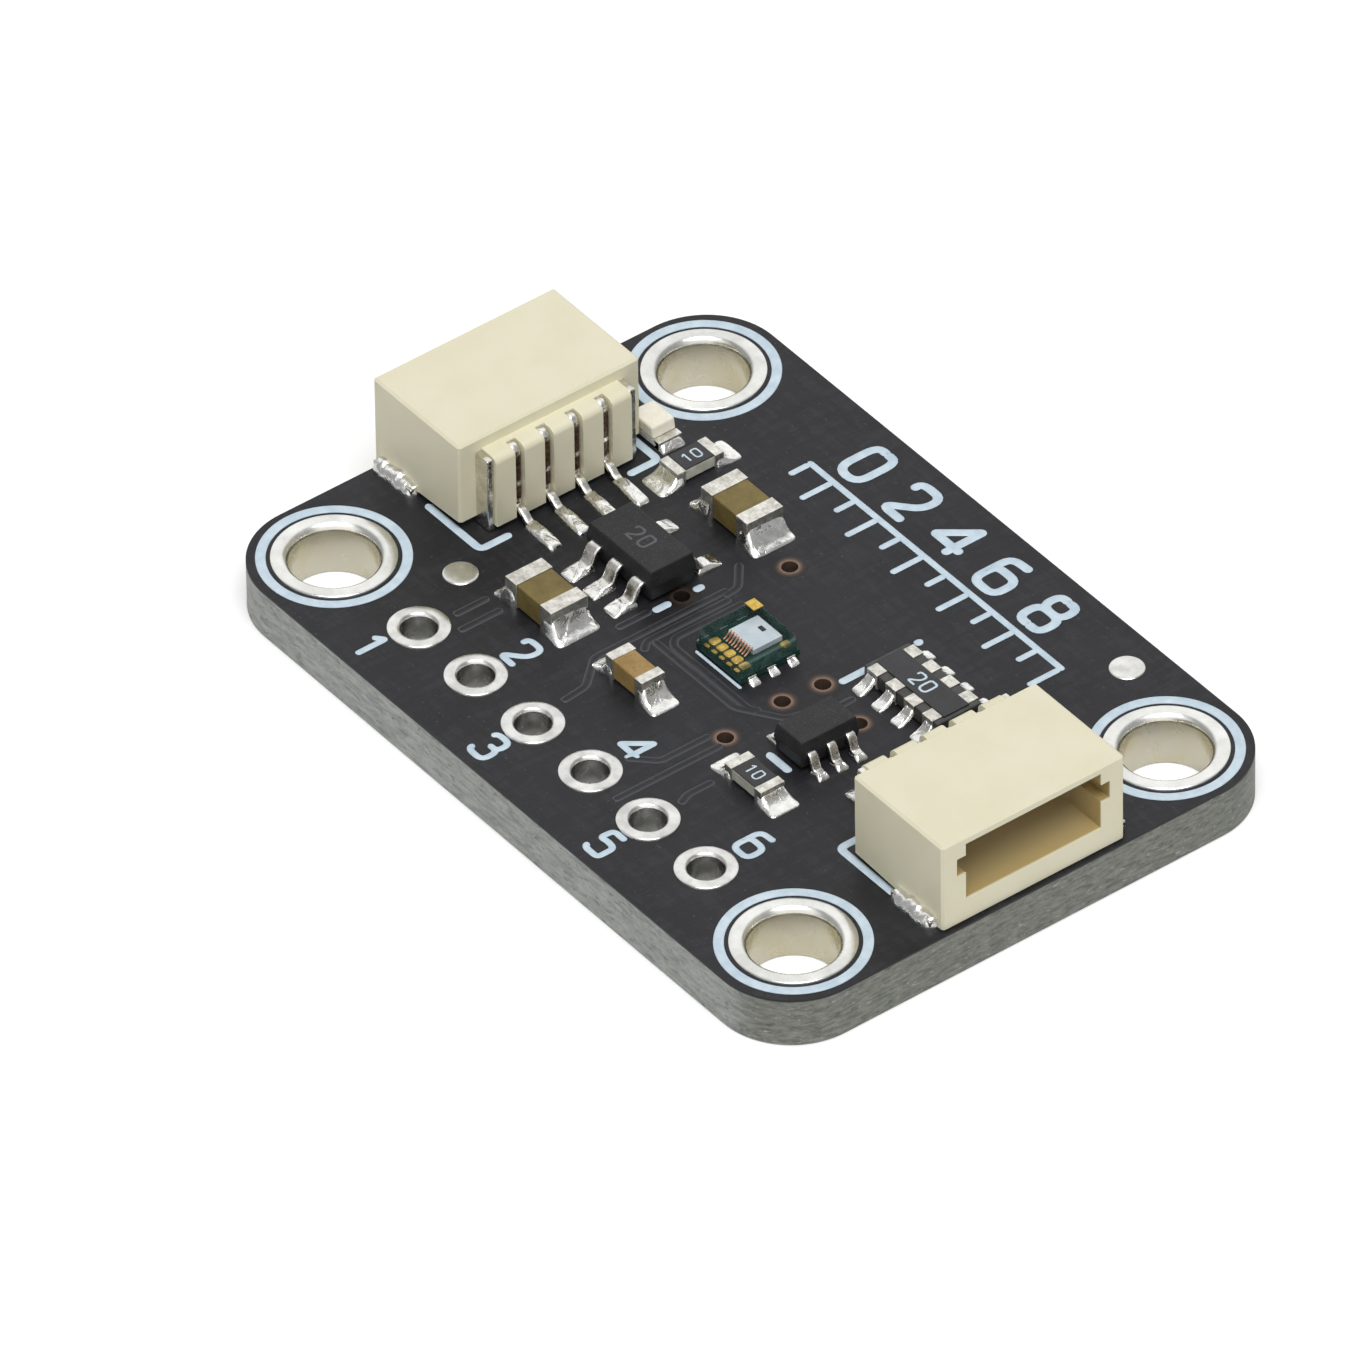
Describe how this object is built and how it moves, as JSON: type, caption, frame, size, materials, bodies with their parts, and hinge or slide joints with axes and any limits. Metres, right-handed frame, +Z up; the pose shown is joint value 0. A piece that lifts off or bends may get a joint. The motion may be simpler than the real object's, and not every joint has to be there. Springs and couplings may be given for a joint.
{
  "type": "light sensor module",
  "caption": "Small black circuit board with a clear light sensor in the middle, ivory cable sockets at both ends, a row of header holes and plated corner holes.",
  "frame": {"origin": "middle of the four mounting holes, on the underside of the board", "axes": "+X along the long side of the board, in the order of the header numbers; +Y away from the row of header holes; +Z up through the parts"},
  "size_m": [0.0252, 0.0176, 0.0046],
  "materials": {
    "solder": "bright solder",
    "board_mask": "near-black solder mask on glass-fibre laminate",
    "tinned_pads": "tinned copper, domed",
    "olive_ceramic": "olive-brown fired ceramic",
    "tinned_ends": "dull tinned end caps",
    "white_ceramic": "grey-white alumina",
    "black_glaze": "black glassy coat",
    "tinned_contacts": "tinned strip",
    "ivory_moulding": "ivory moulded plastic, satin",
    "black_moulding": "black moulding compound",
    "tinned_leads": "tinned leads",
    "gold_bonds": "gold plating",
    "silicon": "silvery silicon",
    "green_substrate": "dark green laminate",
    "clear_window": "clear resin",
    "clear_lens": "pale translucent resin",
    "white_ink": "pale screen-printed ink",
    "amber_ceramic": "orange-brown fired ceramic",
    "copper_rings": "copper under thin mask"
  },
  "bodies": {
    "root": {"chip_solder": "solder", "circuit_board": "board_mask", "fiducial_pads": "tinned_pads", "header_hole_plating": "tinned_pads", "input_capacitor_body": "olive_ceramic", "input_capacitor_terminals": "tinned_ends", "interrupt_resistor_body": "white_ceramic", "interrupt_resistor_coat": "black_glaze", "interrupt_resistor_terminals": "tinned_ends", "lamp_resistor_body": "white_ceramic", "lamp_resistor_coat": "black_glaze", "lamp_resistor_terminals": "tinned_ends", "left_socket_contact_1": "tinned_contacts", "left_socket_contact_2": "tinned_contacts", "left_socket_contact_3": "tinned_contacts", "left_socket_contact_4": "tinned_contacts", "left_socket_plate_far": "tinned_contacts", "left_socket_plate_near": "tinned_contacts", "left_socket_shell": "ivory_moulding", "left_socket_solder": "solder", "level_shifter_body": "black_moulding", "level_shifter_leads": "tinned_leads", "level_shifter_solder": "solder", "light_sensor_bond_pads": "gold_bonds", "light_sensor_chip": "silicon", "light_sensor_index_pad": "gold_bonds", "light_sensor_solder": "solder", "light_sensor_substrate": "green_substrate", "light_sensor_terminals": "tinned_ends", "light_sensor_window": "clear_window", "mounting_hole_plating": "tinned_pads", "output_capacitor_body": "olive_ceramic", "output_capacitor_terminals": "tinned_ends", "power_lamp_base": "white_ceramic", "power_lamp_lens": "clear_lens", "power_lamp_terminals": "tinned_ends", "printed_bars": "white_ink", "printed_brackets": "white_ink", "printed_rings": "white_ink", "regulator_body": "black_moulding", "regulator_leads": "tinned_leads", "regulator_solder": "solder", "resistor_array_body": "white_ceramic", "resistor_array_coat": "black_glaze", "resistor_array_solder": "solder", "resistor_array_terminals": "tinned_ends", "right_socket_contact_1": "tinned_contacts", "right_socket_contact_2": "tinned_contacts", "right_socket_contact_3": "tinned_contacts", "right_socket_contact_4": "tinned_contacts", "right_socket_plate_far": "tinned_contacts", "right_socket_plate_near": "tinned_contacts", "right_socket_shell": "ivory_moulding", "right_socket_solder": "solder", "sensor_capacitor_body": "amber_ceramic", "sensor_capacitor_terminals": "tinned_ends", "via_plating": "copper_rings"}
  },
  "joints": []
}
